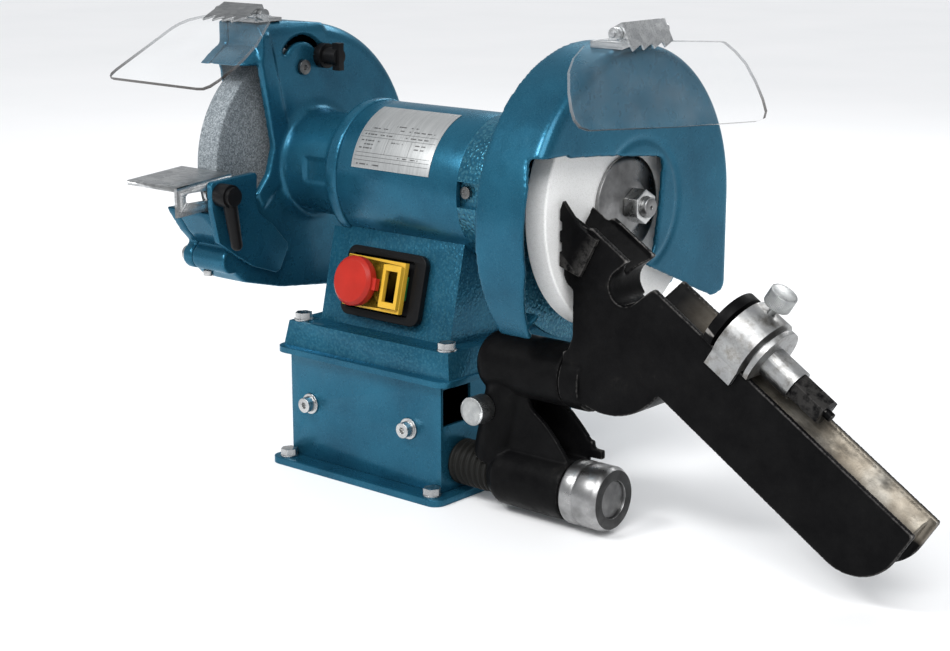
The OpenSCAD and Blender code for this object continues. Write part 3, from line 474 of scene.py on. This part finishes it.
def abrasive(name, tones, grain, depth, dirt=0.0):
    m = Maker(name)
    grit = m.cells(grain)
    value = m.node("ShaderNodeSeparateColor")
    m.link(grit.outputs["Color"], value.inputs[0])
    speck = m.ramp(value.outputs[0], [(0.0, tones[0]), (0.45, tones[1]), (1.0, tones[2])])
    cloud = m.levels(m.noise(0.03, 4), 0.45, 0.75, 0.0, dirt)
    m.colour(m.mix(cloud, speck, tones[0]))
    m.set("Roughness", 0.93)
    m.set("Specular IOR Level", 0.25)
    m.bump(m.math("MULTIPLY", grit.outputs["Distance"], -1.0), depth, 0.6)
    m.bump(m.noise(grain * 3, 3), depth, 0.5)
    return m.finished()


def plastic(name, colour, roughness, grain=0.0006, coat=0.0, shine=0.35):
    m = Maker(name)
    darker = tuple(c * 0.82 for c in colour)
    m.colour(m.ramp(m.noise(0.02, 4), [(0.3, darker), (0.7, colour)]))
    m.set("Specular IOR Level", shine)
    m.rough(m.levels(m.noise(0.006, 4), 0.3, 0.7, roughness - 0.05, roughness + 0.08))
    m.set("Coat Weight", coat)
    m.bump(m.noise(grain, 2), 0.00008, 0.5)
    return m.finished()


def clear_sheet(name, square_to, low, high):
    """Polycarbonate: nearly invisible faces and cut edges with painted light, a dark painted shade
    at the bottom rising to a paler grey painted reflection at the top.
    """
    m = Maker(name)
    smear = m.noise(0.03, 4)
    facing = m.math("ABSOLUTE", m.along(square_to, vector=m.facing))
    edge = m.levels(facing, 0.35, 0.6, 1.0, 0.0)
    # Painted light on the cut edges: dark painted shade at the bottom, a paler grey painted
    # reflection towards the top, and the edges more opaque low down.
    height = m.levels(m.along((0, 0, 1)), low, high)
    tone = m.ramp(height, [(0.0, (0.025, 0.018, 0.014)), (0.2, (0.06, 0.05, 0.045)),
                           (0.5, (0.25, 0.26, 0.27))])
    m.colour(m.mix(edge, (0.82, 0.88, 0.90), tone))
    m.rough(m.levels(smear, 0.4, 0.8, 0.02, 0.08))
    m.set("Specular IOR Level", 0.2)
    film = m.levels(smear, 0.35, 0.75, 0.015, 0.05)
    solid = m.levels(height, 0.0, 0.6, 0.92, 0.55)
    m.link(m.math("MAXIMUM", film, m.math("MULTIPLY", edge, solid)), m.shader.inputs["Alpha"])
    return m.finished()


PLATE_ROWS = (42.5, 37.3, 24, 21, 17.8)   # degrees above the horizontal
PLATE_COLUMNS = (-0.0033, 0.0224)
PLATE_DASHES = (
    (49.5, -0.002, 0.022), (45.8, -0.027, -0.008), (45.8, 0.004, 0.044), (39.8, -0.032, 0.000),
    (39.8, 0.008, 0.040), (34.2, -0.033, -0.012), (31.0, -0.030, -0.014), (27.8, -0.033, -0.018),
    (34.2, 0.000, 0.014), (34.2, 0.025, 0.040), (31.0, 0.025, 0.038), (22.5, 0.010, 0.035),
    (14.8, -0.032, -0.006),
)


def nameplate_metal():
    """Satin aluminium with the ruled lines of a rating plate and no lettering."""
    m = Maker("nameplate_metal")
    brush = m.noise(0.0008, 3, place=m.stretched((1, 0.03, 0.03)))
    metal = m.ramp(brush, [(0.3, (0.36, 0.37, 0.37)), (0.7, (0.47, 0.48, 0.48))])
    angle = m.polar(AXIS_OF_SPINDLE, (0, -1, 0), (0, 0, 1))[1]
    degrees = m.math("MULTIPLY", angle, 180 / math.pi)
    x = m.along((1, 0, 0))
    inner = m.band(x, -0.0352, 0.0475, 0.0001)
    rules = [m.math("MULTIPLY", m.band(degrees, row - 0.2, row + 0.2, 0.06), inner)
             for row in PLATE_ROWS]
    body = m.band(degrees, PLATE_ROWS[2], PLATE_ROWS[1], 0.05)
    rules += [m.math("MULTIPLY", m.band(x, at - 0.0002, at + 0.0002, 0.0001), body)
              for at in PLATE_COLUMNS]
    dashes = m.levels(m.noise(0.0022, 1, place=m.stretched((1, 0.02, 0.02))), 0.48, 0.52)
    for row, start, end in PLATE_DASHES:
        line = m.band(degrees, row - 0.55, row + 0.55, 0.15)
        span = m.band(x, start, end, 0.0002)
        rules.append(m.math("MULTIPLY", m.math("MULTIPLY", line, span), dashes))
    m.colour(m.mix(m.math("MULTIPLY", m.any_of(rules), 0.85), metal, (0.06, 0.06, 0.06)))
    m.set("Metallic", 0.7)
    m.rough(m.levels(brush, 0.3, 0.7, 0.34, 0.48))
    return m.finished()


# ---------- finish for every CAD node ----------

def bevelled(piece, width, angle=35, segments=3):
    """Merges flat triangles, rounds the edges and shades the piece smooth."""
    weld = piece.modifiers.new("weld", "WELD")
    weld.merge_threshold = 0.00001
    flat = piece.modifiers.new("flat", "DECIMATE")
    flat.decimate_type = "DISSOLVE"
    flat.angle_limit = math.radians(1.0)
    bevel = piece.modifiers.new("bevel", "BEVEL")
    bevel.width = width
    bevel.segments = segments
    bevel.limit_method = "ANGLE"
    bevel.angle_limit = math.radians(angle)
    bevel.use_clamp_overlap = True
    bevel.harden_normals = True
    for polygon in piece.data.polygons:
        polygon.use_smooth = True


def softened(piece, voxel, rounds):
    """Remeshes a casting finely and smooths it, for the soft fillets of a sand casting."""
    remesh = piece.modifiers.new("remesh", "REMESH")
    remesh.mode = "VOXEL"
    remesh.voxel_size = voxel
    remesh.use_smooth_shade = True
    smooth = piece.modifiers.new("smooth", "SMOOTH")
    smooth.factor = 0.5
    smooth.iterations = rounds


def give(piece, material):
    piece.data.materials.clear()
    piece.data.materials.append(material)


CASTINGS = {                           # voxel in millimetres and rounds of smoothing
    "left_housing": (1.6, 7), "left_guard_cover": (1.8, 5), "right_guard": (1.5, 5),
    "drill_bracket": (1.2, 12), "swing_arm": (1.3, 3),
}


def finish_nodes():
    blue = blue_enamel("blue_enamel")
    hammered = blue_enamel("blue_hammered", 0.9)
    speckled = blue_enamel("blue_speckled", 0.35)
    zinc, sheet, cast = zinc_plate(), galvanised_sheet(), black_casting()
    used_zinc = zinc_plate("used_zinc", 0.75, 0.7)
    dark_sheet = galvanised_sheet("dark_sheet", 0.62)
    dark_screw = zinc_plate("dark_screw", 0.3, 0.6)
    spindle_steel = turned_steel("spindle_steel", AXIS_OF_SPINDLE, 0.2, 0.6)
    guide_steel = turned_steel("guide_steel", AXIS_OF_GUIDE, 0.24, 0.16)
    bar_steel = turned_steel("bar_steel", AXIS_OF_GUIDE, 0.42)
    screw_zinc = knurled("screw_zinc", THUMB_SCREW, (0, 1, 0), TROUGH_DOWN, 56)
    knob_zinc = knurled("knob_zinc", LOCK_KNOB, (1, 0, 0), (0, 0, 1), 60)
    black = plastic("black_plastic", (0.006, 0.006, 0.0065), 0.40, shine=0.12)
    rubber = plastic("black_rubber", (0.009, 0.009, 0.008), 0.55, shine=0.15)
    yellow = plastic("yellow_plastic", (0.62, 0.37, 0.035), 0.32, shine=0.3)
    red = plastic("red_plastic", (0.38, 0.020, 0.012), 0.36, shine=0.2)
    green = plastic("green_plastic", (0.03, 0.30, 0.09), 0.36)
    grey = abrasive("grey_abrasive", [(0.12, 0.14, 0.155), (0.19, 0.215, 0.23), (0.33, 0.36, 0.38)],
                    0.0011, 0.0004, 0.3)
    white = abrasive("white_abrasive", [(0.84, 0.84, 0.82), (0.93, 0.93, 0.92), (0.96, 0.96, 0.95)],
                     0.0007, 0.0002, 0.3)
    left_clear = clear_sheet("left_clear", LEFT_SHEET_NORMAL, 0.330, 0.384)
    right_clear = clear_sheet("right_clear", RIGHT_SHEET_NORMAL, 0.305, 0.384)
    plate = nameplate_metal()
    iron, copper = laminations(), copper_winding()
    finishes = {
        "base_plate": (blue, 1.2), "base_bolts": (zinc, 0.5), "base_box": (blue, 0.9),
        "box_screws": (zinc, 0.6), "top_flange": (blue, 1.0), "pedestal": (speckled, 1.6),
        "pedestal_bolts": (zinc, 0.5), "cable_gland": (black, 0.5),
        "switch_bezel": (black, 1.2), "switch_body": (black, 0.4),
        "switch_flap": (yellow, 0.9), "stop_mushroom": (red, 1.4),
        "start_button": (green, 0.8), "stop_button": (red, 0.8),
        "motor_tube": (blue, 0.5), "nameplate": (plate, 0.1), "stator_core": (iron, 0),
        "windings": (copper, 0), "bearing_outer_rings": (spindle_steel, 0.4),
        "left_housing": (blue, 0), "left_guard_cover": (blue, 0),
        "left_cover_screws": (zinc, 0.6), "right_housing": (hammered, 0.6),
        "right_guard": (blue, 0), "end_shield_screws": (dark_screw, 0.3),
        "shaft": (spindle_steel, 0.4), "rotor_core": (iron, 0),
        "bearing_inner_rings": (spindle_steel, 0.3), "bearing_balls": (spindle_steel, 0),
        "inner_flanges": (spindle_steel, 0.6), "outer_flanges": (spindle_steel, 0.5),
        "spindle_nuts": (zinc, 0.8), "rest_bracket": (blue, 1.2), "tool_rest": (sheet, 0.6),
        "rest_stud": (zinc, 0.4), "clamp_lever": (black, 1.0),
        "spark_arrestor": (dark_sheet, 0.4), "spark_pivot_screw": (dark_screw, 0.4),
        "wing_knob": (black, 1.0),
        "left_shield_bracket": (dark_sheet, 0.4), "left_shield_holder": (dark_sheet, 0.3),
        "left_shield": (left_clear, 0.3), "right_shield_bracket": (sheet, 0.4),
        "right_shield_holder": (sheet, 0.3), "right_shield": (right_clear, 0.3),
        "guide_bar": (bar_steel, 1.0), "guide_flange": (guide_steel, 0.6),
        "bellows": (rubber, 0.5), "drill_bracket": (cast, 0), "feed_ring": (guide_steel, 0.5),
        "lock_knob": (knob_zinc, 0.7), "pivot_pin": (guide_steel, 1.0),
        "swing_arm": (trough_casting(), 0), "lip_rest": (cast, 0.4),
        "stop_carriage": (used_zinc, 0.7), "stop_disc": (cast, 0.8),
        "thumb_screw": (screw_zinc, 0.8), "stop_screw": (cast, 0.6),
    }
    for name, (material, width) in finishes.items():
        give(nodes[name], material)
        if width:
            bevelled(nodes[name], width * MM)
    for name, (voxel, rounds) in CASTINGS.items():
        softened(nodes[name], voxel * MM, rounds)
    grinding_wheel("grey_grinding_wheel", "grey_wheel", grey)
    grinding_wheel("white_grinding_wheel", "white_wheel", white)


add_camera()
add_studio()
finish_nodes()
